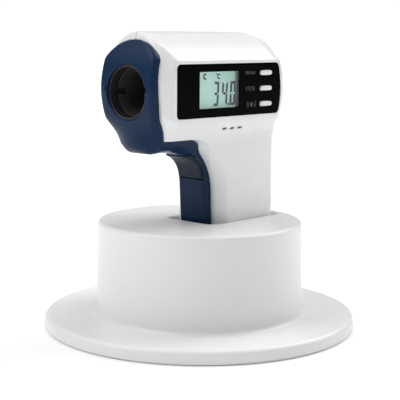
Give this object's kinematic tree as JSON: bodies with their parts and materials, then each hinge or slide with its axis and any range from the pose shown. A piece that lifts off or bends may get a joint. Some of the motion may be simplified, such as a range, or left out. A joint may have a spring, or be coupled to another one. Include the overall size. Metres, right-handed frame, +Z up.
{
  "type": "digital thermometer",
  "caption": "Hand-held infrared forehead thermometer with a side display and finger trigger, standing in a round desk cradle.",
  "frame": {"origin": "centre of the cradle's underside, on the table", "axes": "+Z up, the nose points to -Y, the display side faces +X"},
  "size_m": [0.146, 0.146, 0.1376],
  "materials": {
    "white_plastic": "satin moulded plastic",
    "base_plastic": "matt moulded plastic",
    "navy_plastic": "satin moulded plastic",
    "trigger_plastic": "satin moulded plastic",
    "black_gloss": "polished black plastic",
    "black_matt": "matt black plastic",
    "grey_plastic": "matt grey plastic",
    "dark_grey": "matt dark grey plastic",
    "clear_window": "clear polished window",
    "lcd": "liquid crystal glass",
    "backlight": "milky light guide",
    "zebra_rubber": "striped elastomer",
    "circuit_board": "green solder resist",
    "chip": "moulded epoxy",
    "switch_body": "moulded plastic and steel cap",
    "steel": "zinc plated steel",
    "spring_steel": "nickel plated spring wire",
    "brass": "turned brass",
    "cell_jacket": "printed film jacket",
    "foot_rubber": "soft rubber"
  },
  "bodies": {
    "cradle": {"cradle_shell": "white_plastic", "cradle_base_plate": "base_plastic", "cradle_feet": "foot_rubber", "cradle_screws": "steel"},
    "thermometer": {"left_shell": "white_plastic", "right_shell": "white_plastic", "front_shell": "navy_plastic", "shell_screws": "steel", "display_panel": "black_gloss", "display_window": "clear_window", "lcd_glass": "lcd", "lcd_frame": "grey_plastic", "lcd_backlight": "backlight", "lcd_connector": "zebra_rubber", "main_board": "circuit_board", "controller_chips": "chip", "button_switches": "switch_body", "trigger_board": "circuit_board", "trigger_switch": "switch_body", "sensor_funnel": "black_matt", "probe_ring": "dark_grey", "thermopile_sensor": "steel", "sensor_sleeve": "brass", "sensor_board": "circuit_board", "buzzer": "black_matt", "battery_1": "cell_jacket", "battery_2": "cell_jacket", "battery_tray": "dark_grey", "battery_springs": "spring_steel", "battery_plate": "steel"},
    "mode_button": {"mode_button": "white_plastic"},
    "memory_button": {"memory_button": "white_plastic"},
    "sound_button": {"sound_button": "white_plastic"},
    "trigger": {"measuring_trigger": "trigger_plastic"},
    "door": {"battery_door": "white_plastic"}
  },
  "joints": [
    {"name": "lift_out", "type": "slide", "parent": "cradle", "child": "thermometer", "axis": [0, 0, 1], "range_m": [0, 0.055]},
    {"name": "mode_press", "type": "slide", "parent": "thermometer", "child": "mode_button", "axis": [-1, 0, 0], "range_m": [0, 0.0005], "stiffness_N_per_m": 400, "springref_m": -0.001},
    {"name": "memory_press", "type": "slide", "parent": "thermometer", "child": "memory_button", "axis": [-1, 0, 0], "range_m": [0, 0.0005], "stiffness_N_per_m": 400, "springref_m": -0.001},
    {"name": "sound_press", "type": "slide", "parent": "thermometer", "child": "sound_button", "axis": [-1, 0, 0], "range_m": [0, 0.0005], "stiffness_N_per_m": 400, "springref_m": -0.001},
    {"name": "trigger_press", "type": "slide", "parent": "thermometer", "child": "trigger", "axis": [0, 1, 0], "range_m": [0, 0.0012], "stiffness_N_per_m": 600, "springref_m": -0.001},
    {"name": "door_pull", "type": "slide", "parent": "thermometer", "child": "door", "axis": [0, 1, 0], "range_m": [0, 0.012]}
  ]
}
